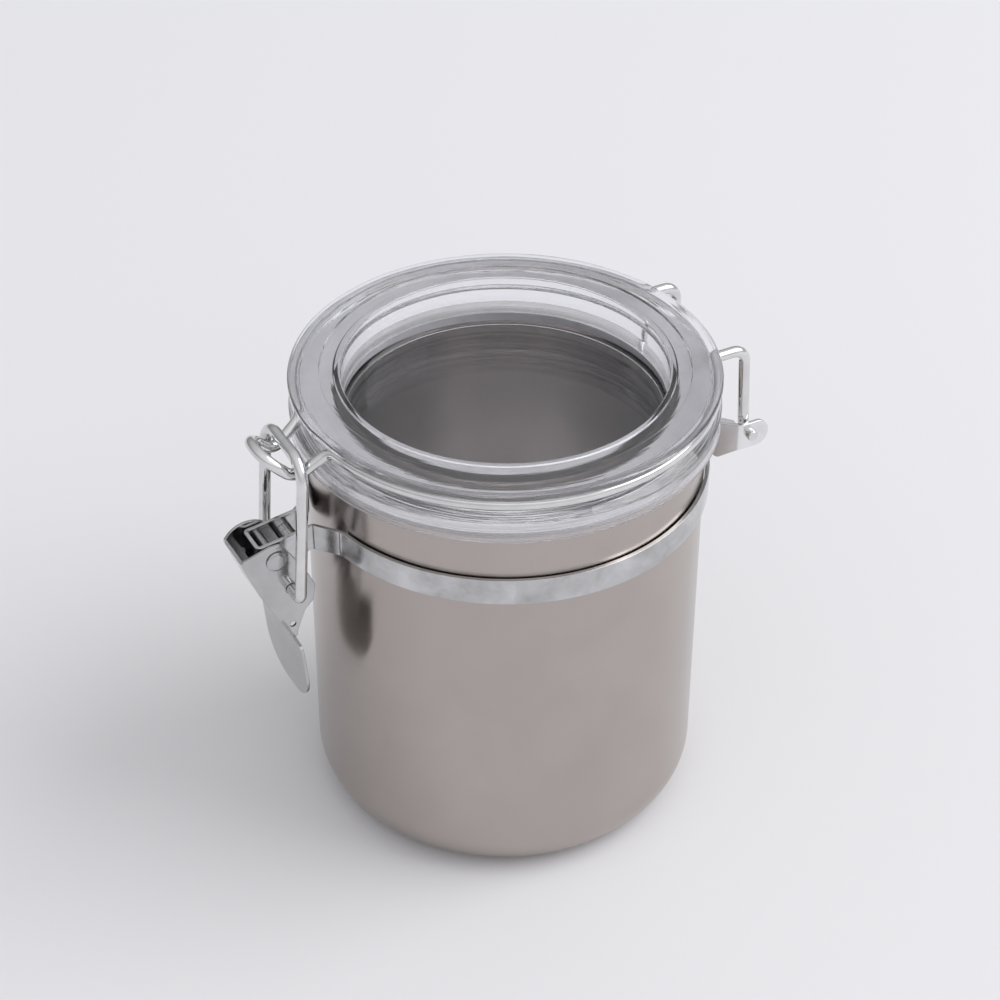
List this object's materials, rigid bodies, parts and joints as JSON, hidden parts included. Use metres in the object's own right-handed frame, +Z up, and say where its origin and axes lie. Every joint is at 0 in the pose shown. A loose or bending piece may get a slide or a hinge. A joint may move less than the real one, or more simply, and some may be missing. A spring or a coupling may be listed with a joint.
{
  "type": "canister",
  "caption": "Cylindrical stainless-steel food canister with a clear hinged lid, closed by a swing-top wire bail and a lever clasp",
  "frame": {"origin": "centre of the flat base, which rests on the table", "axes": "+Z up along the can; -Y towards the clasp, +Y towards the hinge; X across, the part is symmetric about X = 0"},
  "size_m": [0.1176, 0.1546, 0.1385],
  "materials": {
    "steel_satin": "satin drawn stainless steel, faintly brushed around",
    "steel_bright": "bright rolled stainless sheet with soft reflections",
    "steel_wire": "bright drawn stainless wire",
    "clear_plastic": "clear glossy acrylic with a faint lilac cast",
    "silicone": "matte translucent white silicone"
  },
  "bodies": {
    "canister": {"can_shell": "steel_satin", "clamp_band": "steel_bright", "clasp_spacer": "steel_bright", "lever_rivet": "steel_bright", "hinge_bracket": "steel_bright"},
    "lid": {"lid": "clear_plastic", "lid_gasket": "silicone", "lid_wire": "steel_wire"},
    "lever": {"lever": "steel_bright"},
    "bail": {"bail": "steel_wire"}
  },
  "joints": [
    {"name": "lid_hinge", "type": "hinge", "parent": "canister", "child": "lid", "pos_m": [0, 0.0662, 0.1075], "axis": [-1, 0, 0], "range_deg": [0, 180]},
    {"name": "lever_pivot", "type": "hinge", "parent": "canister", "child": "lever", "pos_m": [0, -0.072, 0.1018], "axis": [-1, 0, 0], "range_deg": [0, 120]},
    {"name": "bail_pivot", "type": "hinge", "parent": "lever", "child": "bail", "pos_m": [0, -0.0682, 0.0911], "axis": [-1, 0, 0], "range_deg": [-92, 0]}
  ],
  "couplings": [
    {"joint": "bail_pivot", "follows": "lever_pivot", "ratio": -0.756}
  ]
}
